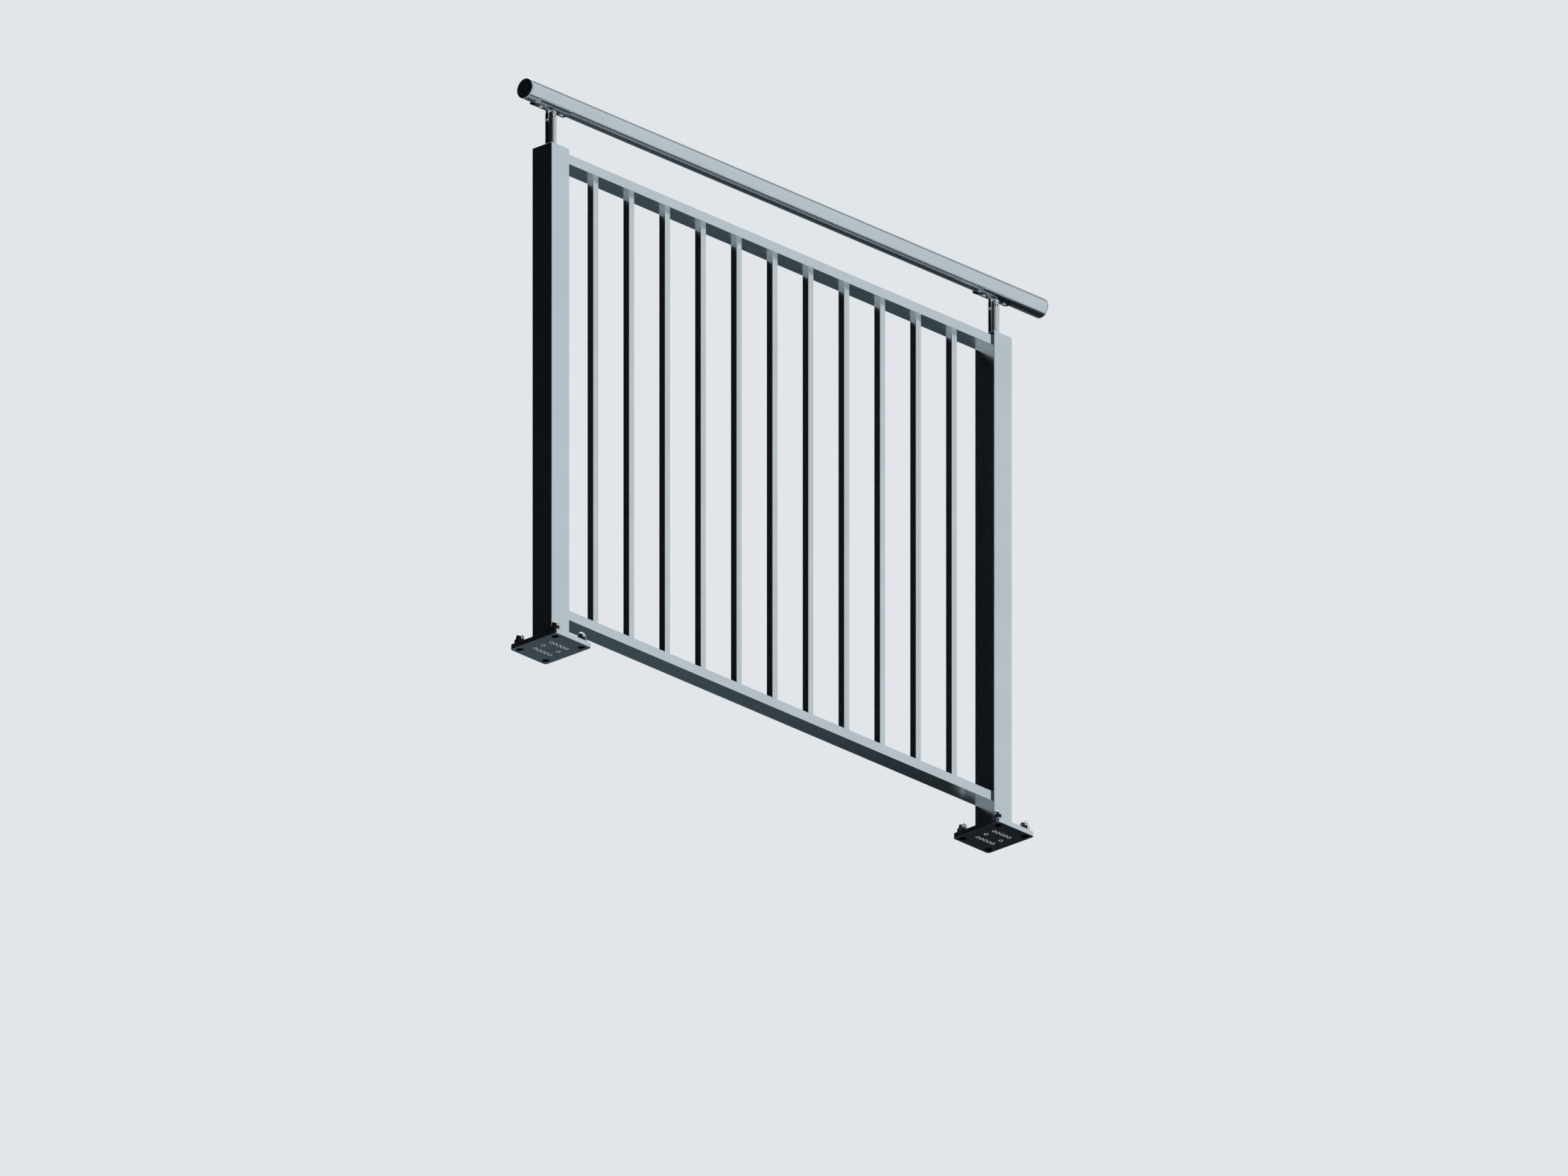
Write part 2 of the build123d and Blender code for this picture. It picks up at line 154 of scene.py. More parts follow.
def card_fade(finish, mesh, start_tone, end_tone):
    """Lets a card's tone run from one to another along X."""
    tree = finish.node_tree
    place = tree.nodes.new("ShaderNodeTexCoord")
    axes = tree.nodes.new("ShaderNodeSeparateXYZ")
    share = tree.nodes.new("ShaderNodeMapRange")
    share.inputs["From Min"].default_value = min(vert.co.x for vert in mesh.vertices)
    share.inputs["From Max"].default_value = max(vert.co.x for vert in mesh.vertices)
    fade = tree.nodes.new("ShaderNodeMix")
    fade.data_type = "RGBA"
    fade.inputs["A"].default_value = (*start_tone, 1)
    fade.inputs["B"].default_value = (*end_tone, 1)
    tree.links.new(place.outputs["Object"], axes.inputs["Vector"])
    tree.links.new(axes.outputs["X"], share.inputs["Value"])
    tree.links.new(share.outputs["Result"], fade.inputs["Factor"])
    shader = tree.nodes["Principled BSDF"]
    tree.links.new(fade.outputs["Result"], shader.inputs["Base Color"])


def dark_card(name, place, aim, width, height, tone, end_tone=None):
    """A matt card at a place, facing the aim. With an end tone it fades to that one."""
    card_bm = bmesh.new()
    bmesh.ops.create_grid(card_bm, x_segments=1, y_segments=1, size=0.5)
    bmesh.ops.scale(card_bm, vec=(width, height, 1), verts=card_bm.verts)
    turn = (Vector(aim) - Vector(place)).to_track_quat("Z", "Y").to_matrix()
    bmesh.ops.rotate(card_bm, cent=(0, 0, 0), matrix=turn, verts=card_bm.verts)
    bmesh.ops.translate(card_bm, vec=place, verts=card_bm.verts)
    card_mesh = bpy.data.meshes.new(name)
    card_bm.to_mesh(card_mesh)
    card_bm.free()
    card = bpy.data.objects.new(name, card_mesh)
    bpy.context.scene.collection.objects.link(card)
    card.visible_camera = False
    card.visible_diffuse = False
    card.visible_shadow = False
    card_finish = bpy.data.materials.new(name)
    card_finish.use_nodes = True
    card_shader = card_finish.node_tree.nodes["Principled BSDF"]
    card_shader.inputs["Base Color"].default_value = (*tone, 1)
    card_shader.inputs["Roughness"].default_value = 1.0
    card_shader.inputs["Specular IOR Level"].default_value = 0.0
    if end_tone:
        card_fade(card_finish, card_mesh, tone, end_tone)
    card.data.materials.append(card_finish)


def level_card(name, place, length, depth, tone):
    """A card that lies level."""
    dark_card(name, place, (place[0], place[1], 0), length, depth, tone)


dark_card("left_card", (-2.4, 2.7, 2.2), panel_middle, 7.5, 7.0, (0.004, 0.005, 0.006))
level_card("low_card", (5.0, 4.4, -0.75), 10.0, 8.0, mid_slate)
level_card("low_front_card", (3.4, 0.05, -0.74), 7.2, 1.8, near_black)
level_card("low_right_card", (3.9, 1.45, -0.73), 3.4, 1.7, near_black)
dark_card("front_left_card", (-3.4, -2.3, 2.0), panel_middle, 6.6, 4.4, (0.010, 0.012, 0.014))
dark_card("fading_card", (0.379, -2.539, 2.25), (0.759, 0, 2.25), 2.4, 1.7,
          (0.050, 0.070, 0.085), (0.58, 0.67, 0.73))
level_card("high_card", (3.2, 0.1, 3.6), 3.2, 0.8, (0.050, 0.060, 0.067))
dark_card("back_card", (5.4, 4.9, 0.45), (0.62, 0, 0.45), 8.5, 2.5, dark_slate)

# The base plates: two 100 x 120 mm aluminium plates, sawn from 10 mm bar with rounded
# corners, drilled for four anchors and countersunk from below for twelve screws. The
# drilled walls are coloured near black, as painted shade inside the holes.
post_x = {"left": 0.0, "right": 1.235}
plate_size = (0.100, 0.120, 0.010)
plate_corner = 0.006
plate_edge_break = 0.0006
anchor_hole_radius = 0.0070
anchor_hole_break = 0.0005
anchor_places = [(x, y) for x in (-0.036, 0.036) for y in (-0.046, 0.046)]
screw_pitch = 0.0103
screw_row_y = 0.0212
screw_row_x = [screw_pitch * step for step in (-2, -1, 0, 1, 2)]
screw_places = [(x, y) for y in (-screw_row_y, screw_row_y) for x in screw_row_x]
screw_places += [(screw_row_x[0], 0.0), (screw_row_x[-1], 0.0)]
screw_hole_radius = 0.0024
countersink_radius = 0.0050
countersink_low = 0.0002
countersink_high = 0.0028
drill_overrun = 0.002


def turned(bm, outline, segments=48, place=Matrix()):
    """Turns an outline of (radius, height) points round an upright axis, then places it."""
    known = set(bm.verts)
    points = [bm.verts.new((radius, 0, height)) for radius, height in outline]
    lines = [bm.edges.new(pair) for pair in zip(points, points[1:])]
    bmesh.ops.spin(
        bm, geom=points + lines, axis=(0, 0, 1), cent=(0, 0, 0),
        steps=segments, angle=2 * pi, use_merge=True,
    )
    made = [vert for vert in bm.verts if vert not in known]
    bmesh.ops.remove_doubles(bm, verts=made, dist=1e-6)
    made = [vert for vert in bm.verts if vert not in known]
    bmesh.ops.transform(bm, matrix=place, verts=made)


def block(bm, size, centre):
    """A rectangular block of metal, whose vertices it returns."""
    made = bmesh.ops.create_cube(bm, size=1)["verts"]
    bmesh.ops.scale(bm, vec=size, verts=made)
    bmesh.ops.translate(bm, vec=centre, verts=made)
    return made


def edges_of(verts, wanted):
    """The edges between these vertices for which wanted(edge) holds."""
    return [e for e in {e for v in verts for e in v.link_edges} if wanted(e)]


def round_edges(bm, edges, width, segments):
    """Rounds these edges over the given width."""
    bmesh.ops.bevel(
        bm, geom=edges, offset=width, affect="EDGES", segments=segments,
        profile=0.5, material=-1,
    )


def lies_along(edge, axis):
    """Whether an edge runs along X (0), Y (1) or Z (2)."""
    return abs((edge.verts[0].co - edge.verts[1].co).normalized()[axis]) > 0.999


def loose_object(name, bm):
    """Writes a finished shape to a new object."""
    bmesh.ops.recalc_face_normals(bm, faces=bm.faces)
    mesh = bpy.data.meshes.new(name)
    bm.to_mesh(mesh)
    bm.free()
    made = bpy.data.objects.new(name, mesh)
    bpy.context.scene.collection.objects.link(made)
    return made


def cut(body, cutter, how="DIFFERENCE", finish=None, cut_finish=None):
    """Cuts, joins or trims one shape with another, which is used up. With two finishes, the
    faces that the cutter leaves get the second one."""
    work = body.modifiers.new("work", "BOOLEAN")
    work.operation = how
    work.solver = "EXACT"
    work.object = cutter
    if cut_finish:
        body.data.materials.append(finish)
        cutter.data.materials.append(cut_finish)
        work.material_mode = "TRANSFER"
    bpy.context.view_layer.update()
    depsgraph = bpy.context.evaluated_depsgraph_get()
    result = bpy.data.meshes.new_from_object(body.evaluated_get(depsgraph))
    body.modifiers.clear()
    body.data = result
    bpy.data.objects.remove(cutter)


def fit(piece, finish, slot, *cad_nodes):
    """Gives a finished piece its shading and material, and puts it in its CAD nodes' place."""
    crease_angle = radians(35)
    if len(piece.data.materials) == 0:
        piece.data.materials.append(finish)
    piece.data.shade_smooth()
    piece.data.set_sharp_from_angle(angle=crease_angle)
    flatness = piece.modifiers.new("flat_faces_stay_flat", "WEIGHTED_NORMAL")
    flatness.keep_sharp = True
    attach(piece, "root")
    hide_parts(*cad_nodes)


def satin_aluminium(name, along, colour=(0.60, 0.66, 0.69)):
    """Satin anodised aluminium, with die lines or mill lines along one axis."""
    across_lines = 1600.0
    along_lines = 6.0
    finish = bpy.data.materials.new(name)
    finish.use_nodes = True
    tree = finish.node_tree
    shader = tree.nodes["Principled BSDF"]
    shader.inputs["Metallic"].default_value = 1.0
    place = tree.nodes.new("ShaderNodeTexCoord")
    stretch = tree.nodes.new("ShaderNodeMapping")
    stretch.inputs["Scale"].default_value = [
        along_lines if axis == along else across_lines for axis in "xyz"
    ]
    lines = tree.nodes.new("ShaderNodeTexNoise")
    lines.inputs["Scale"].default_value = 1.0
    lines.inputs["Detail"].default_value = 3.0
    grain = tree.nodes.new("ShaderNodeTexNoise")
    grain.inputs["Scale"].default_value = 2600.0
    grain.inputs["Detail"].default_value = 2.0
    patches = tree.nodes.new("ShaderNodeTexNoise")
    patches.inputs["Scale"].default_value = 9.0
    patches.inputs["Detail"].default_value = 2.0
    tree.links.new(place.outputs["Object"], stretch.inputs["Vector"])
    tree.links.new(stretch.outputs["Vector"], lines.inputs["Vector"])
    tree.links.new(place.outputs["Object"], grain.inputs["Vector"])
    tree.links.new(place.outputs["Object"], patches.inputs["Vector"])
    tone = tree.nodes.new("ShaderNodeMix")
    tone.data_type = "RGBA"
    tone.inputs["A"].default_value = (*[c * 0.93 for c in colour], 1)
    tone.inputs["B"].default_value = (*[c * 1.07 for c in colour], 1)
    tree.links.new(patches.outputs["Fac"], tone.inputs["Factor"])
    tree.links.new(tone.outputs["Result"], shader.inputs["Base Color"])
    sheen = tree.nodes.new("ShaderNodeMapRange")
    sheen.inputs["To Min"].default_value = 0.18
    sheen.inputs["To Max"].default_value = 0.28
    tree.links.new(lines.outputs["Fac"], sheen.inputs["Value"])
    tree.links.new(sheen.outputs["Result"], shader.inputs["Roughness"])
    both = tree.nodes.new("ShaderNodeMath")
    both.operation = "MULTIPLY_ADD"
    both.inputs[1].default_value = 0.35
    tree.links.new(grain.outputs["Fac"], both.inputs[0])
    tree.links.new(lines.outputs["Fac"], both.inputs[2])
    relief = tree.nodes.new("ShaderNodeBump")
    relief.inputs["Strength"].default_value = 0.12
    relief.inputs["Distance"].default_value = 0.00004
    tree.links.new(both.outputs[0], relief.inputs["Height"])
    tree.links.new(relief.outputs["Normal"], shader.inputs["Normal"])
    return finish


plate_finish = satin_aluminium("plate_aluminium", "x")
# The drilled walls' near-black colour is painted shade inside the holes.
hole_wall_shade_finish = satin_aluminium("hole_wall_painted_shade", "z", colour=(0.14, 0.15, 0.16))
plate_through = plate_size[2] + drill_overrun
anchor_mouth_radius = anchor_hole_radius + anchor_hole_break
anchor_drill = [
    (0, -drill_overrun), (anchor_mouth_radius, -drill_overrun), (anchor_mouth_radius, 0),
    (anchor_hole_radius, anchor_hole_break), (anchor_hole_radius, plate_through),
    (0, plate_through),
]
screw_drill = [
    (0, -drill_overrun), (countersink_radius, -drill_overrun),
    (countersink_radius, countersink_low), (screw_hole_radius, countersink_high),
    (screw_hole_radius, plate_through), (0, plate_through),
]
for side, x in post_x.items():
    plate_bm = bmesh.new()
    plate_verts = block(plate_bm, plate_size, (x, 0, plate_size[2] / 2))
    corners = edges_of(plate_verts, lambda e: lies_along(e, 2))
    round_edges(plate_bm, corners, plate_corner, 8)
    rims = [e for e in plate_bm.edges if abs(e.verts[0].co.z - e.verts[1].co.z) < 1e-6
            and len(e.link_faces) == 2]
    round_edges(plate_bm, rims, plate_edge_break, 2)
    plate = loose_object(f"{side}_plate_body", plate_bm)
    holes_bm = bmesh.new()
    for px, py in anchor_places:
        turned(holes_bm, anchor_drill, 48, Matrix.Translation((x + px, py, 0)))
    for px, py in screw_places:
        turned(holes_bm, screw_drill, 32, Matrix.Translation((x + px, py, 0)))
    holes = loose_object(f"{side}_plate_drills", holes_bm)
    cut(plate, holes, "DIFFERENCE", plate_finish, hole_wall_shade_finish)
    fit(plate, plate_finish, "satin_aluminium", f"{side}_base_plate")

# The base screws: stainless countersunk screws with hexagon sockets, driven up through
# each plate into the screw ports of the post, heads just inside the plate's underside.
screw_head_radius = 0.0048
screw_shank_radius = 0.0021
screw_length = 0.0300
screw_point = 0.0010
screw_socket_flats = 0.0050
screw_socket_top = 0.0032
screw_turn = 1.7


def turned_steel(name, roughness, colour=(0.58, 0.60, 0.61), metallic=1.0):
    """Stainless steel with fine turning marks and a faint unevenness."""
    finish = bpy.data.materials.new(name)
    finish.use_nodes = True
    tree = finish.node_tree
    shader = tree.nodes["Principled BSDF"]
    shader.inputs["Metallic"].default_value = metallic
    place = tree.nodes.new("ShaderNodeTexCoord")
    marks = tree.nodes.new("ShaderNodeTexNoise")
    marks.inputs["Scale"].default_value = 2200.0
    marks.inputs["Detail"].default_value = 3.0
    cloud = tree.nodes.new("ShaderNodeTexNoise")
    cloud.inputs["Scale"].default_value = 60.0
    tree.links.new(place.outputs["Object"], marks.inputs["Vector"])
    tree.links.new(place.outputs["Object"], cloud.inputs["Vector"])
    tone = tree.nodes.new("ShaderNodeMix")
    tone.data_type = "RGBA"
    tone.inputs["A"].default_value = (*[c * 0.9 for c in colour], 1)
    tone.inputs["B"].default_value = (*[c * 1.1 for c in colour], 1)
    tree.links.new(cloud.outputs["Fac"], tone.inputs["Factor"])
    tree.links.new(tone.outputs["Result"], shader.inputs["Base Color"])
    sheen = tree.nodes.new("ShaderNodeMapRange")
    sheen.inputs["To Min"].default_value = roughness * 0.88
    sheen.inputs["To Max"].default_value = roughness * 1.12
    tree.links.new(marks.outputs["Fac"], sheen.inputs["Value"])
    tree.links.new(sheen.outputs["Result"], shader.inputs["Roughness"])
    relief = tree.nodes.new("ShaderNodeBump")
    relief.inputs["Strength"].default_value = 0.03
    relief.inputs["Distance"].default_value = 0.00002
    tree.links.new(marks.outputs["Fac"], relief.inputs["Height"])
    tree.links.new(relief.outputs["Normal"], shader.inputs["Normal"])
    return finish


def hexagon(bm, across_flats, low, high):
    """A hexagonal bar or socket between two heights, with two corners on the X axis."""
    corner_radius = across_flats / 2 / cos(radians(30))
    middle = Matrix.Translation((0, 0, (low + high) / 2))
    bmesh.ops.create_cone(
        bm, cap_ends=True, segments=6, radius1=corner_radius, radius2=corner_radius,
        depth=high - low, matrix=middle @ Matrix.Rotation(pi / 6, 4, "Z"),
    )


def hexagon_object(name, across_flats, low, high):
    """A loose hexagonal bar, or the shape of a socket."""
    hexagon_bm = bmesh.new()
    hexagon(hexagon_bm, across_flats, low, high)
    return loose_object(name, hexagon_bm)


def copies(name, pattern, places):
    """One object holding a copy of the pattern at every place; the pattern is used up."""
    group_bm = bmesh.new()
    for place in places:
        known = set(group_bm.verts)
        group_bm.from_mesh(pattern.data)
        added = [vert for vert in group_bm.verts if vert not in known]
        bmesh.ops.transform(group_bm, matrix=place, verts=added)
    group = loose_object(name, group_bm)
    for finish in pattern.data.materials:
        group.data.materials.append(finish)
    bpy.data.objects.remove(pattern)
    return group


# The screws' steel is paler and half matt: painted highlight, so the heads show as bright rings.
screw_steel_painted_highlight = turned_steel("screw_steel_painted_highlight", 0.50, colour=(0.76, 0.78, 0.80), metallic=0.35)
# Near-black steel for the sockets and bores: painted shade in these recesses.
socket_painted_shade = turned_steel("socket_painted_shade", 0.55, colour=(0.035, 0.038, 0.042))
screw_outline = [
    (0, 0.0005), (0.0030, 0.0005), (0.0033, 0.0003), (0.0036, 0.0002), (0.0041, 0.0003),
    (0.0045, 0.0006), (screw_head_radius, 0.0010), (screw_shank_radius, 0.0036),
    (screw_shank_radius, screw_length - screw_point), (0.0014, screw_length),
    (0, screw_length),
]
screw_bm = bmesh.new()
turned(screw_bm, screw_outline, 32)
base_screw = loose_object("base_screw", screw_bm)
screw_socket = hexagon_object("base_screw_socket", screw_socket_flats, -0.001, screw_socket_top)
cut(base_screw, screw_socket, "DIFFERENCE", screw_steel_painted_highlight, socket_painted_shade)
base_screws = copies(
    "countersunk_base_screws", base_screw,
    [Matrix.Translation((x + px, py, 0)) @ Matrix.Rotation(screw_turn * i, 4, "Z")
     for x in post_x.values() for i, (px, py) in enumerate(screw_places)],
)
fit(base_screws, screw_steel_painted_highlight, "stainless_steel", "base_screws")

# The anchor nuts: turned stainless dome nuts for M12 anchors, a 19 mm hexagon with
# chamfered corners under a polished dome, one over each anchor hole.
nut_flats = 0.019
nut_hexagon_height = 0.010
nut_corner_radius = 0.0112
nut_face_radius = 0.0091
dome_radius = 0.0085
dome_start = 0.0135
dome_rise = 0.00835
nut_bore_radius = 0.0060
nut_bore_depth = 0.015
nut_steel = turned_steel("nut_steel", 0.14)
anchor_nut = hexagon_object("anchor_nut", nut_flats, 0.0, nut_hexagon_height)
chamfer_outline = [
    (0, -0.0001), (nut_face_radius, -0.0001), (nut_corner_radius, 0.0010),
    (nut_corner_radius, 0.0089), (nut_face_radius, 0.0101), (0, 0.0101),
]
chamfer_bm = bmesh.new()
turned(chamfer_bm, chamfer_outline, 64)
cut(anchor_nut, loose_object("nut_chamfer", chamfer_bm), "INTERSECT")
dome_outline = [(0, 0.004), (0.0084, 0.004), (dome_radius, 0.0104), (dome_radius, dome_start)]
dome_outline += [
    (dome_radius * cos(radians(rise)), dome_start + dome_rise * sin(radians(rise)))
    for rise in range(8, 90, 8)
]
dome_outline.append((0, dome_start + dome_rise))
dome_bm = bmesh.new()
turned(dome_bm, dome_outline, 64)
cut(anchor_nut, loose_object("nut_dome", dome_bm), "UNION")
nut_bore_outline = [
    (0, -0.001), (0.0066, -0.001), (nut_bore_radius, 0.0006),
    (nut_bore_radius, nut_bore_depth), (0, nut_bore_depth + 0.002),
]
nut_bore_bm = bmesh.new()
turned(nut_bore_bm, nut_bore_outline, 48)
nut_bore = loose_object("nut_bore", nut_bore_bm)
cut(anchor_nut, nut_bore, "DIFFERENCE", nut_steel, socket_painted_shade)


def nut_turn(count, x):
    """How far a nut was tightened: a little different from nut to nut and post to post."""
    return Matrix.Rotation(0.37 + 0.02 * count - 0.1 * x, 4, "Z")


anchor_nuts = copies(
    "domed_anchor_nuts", anchor_nut,
    [Matrix.Translation((x + px, py, plate_size[2])) @ nut_turn(i, x)
     for x in post_x.values() for i, (px, py) in enumerate(anchor_places)],
)
fit(anchor_nuts, nut_steel, "stainless_steel", "anchor_nuts")

# The posts, rails and balusters: square and rectangular extrusions in satin anodised
# aluminium, whose fine die lines run along their length, with spigots of the same bar
# that join the rails to the posts.
upright_finish = satin_aluminium("upright_aluminium", "z")
level_finish = satin_aluminium("level_aluminium", "x")
baluster_count = 11


def refinish(name, finish):
    """Gives a CAD node its finish."""
    nodes[name].data.materials.clear()
    nodes[name].data.materials.append(finish)


for side in post_x:
    refinish(f"{side}_post", upright_finish)
for number in range(1, baluster_count + 1):
    refinish(f"baluster_{number:02d}", upright_finish)
for rail_name in ("top_rail", "bottom_rail"):
    refinish(rail_name, level_finish)
    for side in post_x:
        refinish(f"{side}_{rail_name}_spigot", level_finish)

# The strips in the rails' undersides: shallow aluminium channels pressed into the slots
# between the balusters, with broken edges that show as two fine lines along each rail.
first_baluster_x = 0.1175
baluster_pitch = 0.1
baluster_x = [first_baluster_x + baluster_pitch * i for i in range(baluster_count)]
baluster_half = 0.0075
rail_span = (0.025, 1.210)
top_rail_under = 1.004
bottom_rail_under = 0.0625
strip_half = 0.0076
strip_face = 0.0015
strip_leg = 0.0012
strip_height = 0.006
strip_edge_break = 0.0004


def slot_strip(bm, start, end, underside):
    """One strip: its channel section drawn across the rail, drawn out along it."""
    inner = strip_half - strip_leg
    section = [
        (-strip_half, 0), (strip_half, 0), (strip_half, strip_height), (inner, strip_height),
        (inner, strip_face), (-inner, strip_face), (-inner, strip_height),
        (-strip_half, strip_height),
    ]
    face = bm.faces.new([bm.verts.new((start, y, underside + z)) for y, z in section])
    drawn = bmesh.ops.extrude_face_region(bm, geom=[face])["geom"]
    far_end = [item for item in drawn if isinstance(item, bmesh.types.BMVert)]
    bmesh.ops.translate(bm, vec=(end - start, 0, 0), verts=far_end)


def rail_strips(name, spans, underside, cad_nodes):
    """All the strips of one rail, with their long lower edges broken."""
    strips_bm = bmesh.new()
    for start, end in spans:
        slot_strip(strips_bm, start, end, underside)
    joint_edges = [e for e in strips_bm.edges
                   if max(v.co.z for v in e.verts) < underside + 1e-5 and lies_along(e, 0)]
    round_edges(strips_bm, joint_edges, strip_edge_break, 2)
    strips = loose_object(name, strips_bm)
    fit(strips, level_finish, "satin_aluminium", *cad_nodes)


strip_starts = [rail_span[0]] + [x + baluster_half for x in baluster_x]
strip_ends = [x - baluster_half for x in baluster_x] + [rail_span[1]]
rail_strips(
    "top_rail_slot_strips", list(zip(strip_starts, strip_ends)), top_rail_under,
    [f"top_rail_strip_{number:02d}" for number in range(1, baluster_count + 2)],
)
rail_strips("bottom_rail_slot_strip", [rail_span], bottom_rail_under, ["bottom_rail_strip"])

# The post caps: 3 mm head plates of the same aluminium, flush with the post, with softly
# rounded upper edges and a plug that fills the post's head.
post_side = 0.050
cap_under = 1.029
cap_top = 1.032
cap_corner = 0.0015
cap_top_rounding = 0.0013
cap_joint_break = 0.0004
cap_plug_section = (0.0336, 0.0348)
cap_plug_low = 0.989
cap_plug_high = cap_under + 0.0005
thread_radius = 0.0060
cap_finish = satin_aluminium("cap_aluminium", "x")
cap_thread_outline = [(0, 0.995), (thread_radius, 0.995), (thread_radius, 1.04), (0, 1.04)]
for side, x in post_x.items():
    cap_bm = bmesh.new()
    cap_verts = block(cap_bm, (post_side, post_side, cap_top - cap_under),
                      (x, 0, (cap_top + cap_under) / 2))
    corners = edges_of(cap_verts, lambda e: lies_along(e, 2))
    round_edges(cap_bm, corners, cap_corner, 4)
    top_rims = [e for e in cap_bm.edges if min(v.co.z for v in e.verts) > cap_top - 0.0001]
    round_edges(cap_bm, top_rims, cap_top_rounding, 5)
    low_rims = [e for e in cap_bm.edges if max(v.co.z for v in e.verts) < cap_under + 0.0001]
    round_edges(cap_bm, low_rims, cap_joint_break, 2)
    post_cap = loose_object(f"{side}_post_head_plate", cap_bm)
    plug_bm = bmesh.new()
    block(plug_bm, (*cap_plug_section, cap_plug_high - cap_plug_low),
          (x, 0, (cap_plug_high + cap_plug_low) / 2))
    cut(post_cap, loose_object(f"{side}_cap_plug", plug_bm), "UNION")
    thread_bm = bmesh.new()
    turned(thread_bm, cap_thread_outline, 48, Matrix.Translation((x, 0, 0)))
    cut(post_cap, loose_object(f"{side}_cap_thread", thread_bm))
    fit(post_cap, cap_finish, "satin_aluminium", f"{side}_post_cap")

# The fork stems: 22 mm stainless bars, turned, slotted and rounded at the top for the
# saddle's lug, counterbored in front for the bolt's head, and screwed into the post cap.
stem_radius = 0.011
stem_low = 0.998
shoulder_break = 0.0002
hinge_z = 1.096
slot_width = 0.0065
slot_floor = hinge_z - stem_radius - 0.0005
slot_reach = 0.05
hinge_bore_radius = 0.0033
counterbore_radius = 0.0062
counterbore_floor = 0.0065
beyond = 0.02
along_y = Matrix.Rotation(pi / 2, 4, "X")
stem_steel = turned_steel("stem_steel", 0.17, colour=(0.60, 0.63, 0.65))
stem_outline = [
    (0, stem_low), (0.0050, stem_low), (thread_radius, stem_low + 0.0015),
    (thread_radius, cap_top), (stem_radius - shoulder_break, cap_top),
    (stem_radius, cap_top + shoulder_break), (stem_radius, hinge_z + beyond),
    (0, hinge_z + beyond),
]


def round_bar(name, radius, low, high, segments, place):
    """A loose round bar between two heights on its own axis, then placed."""
    bar_bm = bmesh.new()
    turned(bar_bm, [(0, low), (radius, low), (radius, high), (0, high)], segments, place)
    return loose_object(name, bar_bm)


def loose_block(name, size, centre):
    """A loose rectangular block."""
    block_bm = bmesh.new()
    block(block_bm, size, centre)
    return loose_object(name, block_bm)


# The turned shapes stand a little off each other's seams, so that no facets coincide.
stem_bm = bmesh.new()
turned(stem_bm, stem_outline, 96, Matrix.Rotation(radians(1.3), 4, "Z"))
stem_pattern = loose_object("stem_bar", stem_bm)
head_place = (Matrix.Translation((0, 0, hinge_z)) @ along_y
              @ Matrix.Rotation(radians(1.1), 4, "Z"))
head_round = round_bar("stem_head_round", stem_radius, -beyond, beyond, 96, head_place)
stem_shaft = loose_block("stem_shaft", (0.023, 0.04, 0.13), (0, 0, hinge_z - 0.065))
cut(head_round, stem_shaft, "UNION")
cut(stem_pattern, head_round, "INTERSECT")
stem_slot = loose_block(
    "stem_slot", (0.04, slot_width, slot_reach), (0, 0, slot_floor + slot_reach / 2)
)
cut(stem_pattern, stem_slot)
stem_bore_outline = [
    (0, -beyond), (hinge_bore_radius, -beyond), (hinge_bore_radius, counterbore_floor),
    (counterbore_radius, counterbore_floor), (counterbore_radius, beyond), (0, beyond),
]
stem_bore_bm = bmesh.new()
turned(stem_bore_bm, stem_bore_outline, 64, Matrix.Translation((0, 0, hinge_z)) @ along_y)
cut(stem_pattern, loose_object("stem_bore", stem_bore_bm))
for side, x in post_x.items():
    stem_bm = bmesh.new()
    stem_bm.from_mesh(stem_pattern.data)
    bmesh.ops.translate(stem_bm, vec=(x, 0, 0), verts=stem_bm.verts)
    stem = loose_object(f"{side}_stem_bar", stem_bm)
    fit(stem, stem_steel, "stainless_steel", f"{side}_fork_stem")
bpy.data.objects.remove(stem_pattern)

# The saddles: 82 mm long stainless plates, rolled to the handrail's round, each with a
# welded lug between the fork's cheeks.
rail_z = 1.134
rail_radius = 0.020
saddle_outer = 0.024
saddle_half_length = 0.041
saddle_edge_break = 0.0005
lug_thickness = 0.006
web_height = 0.0158
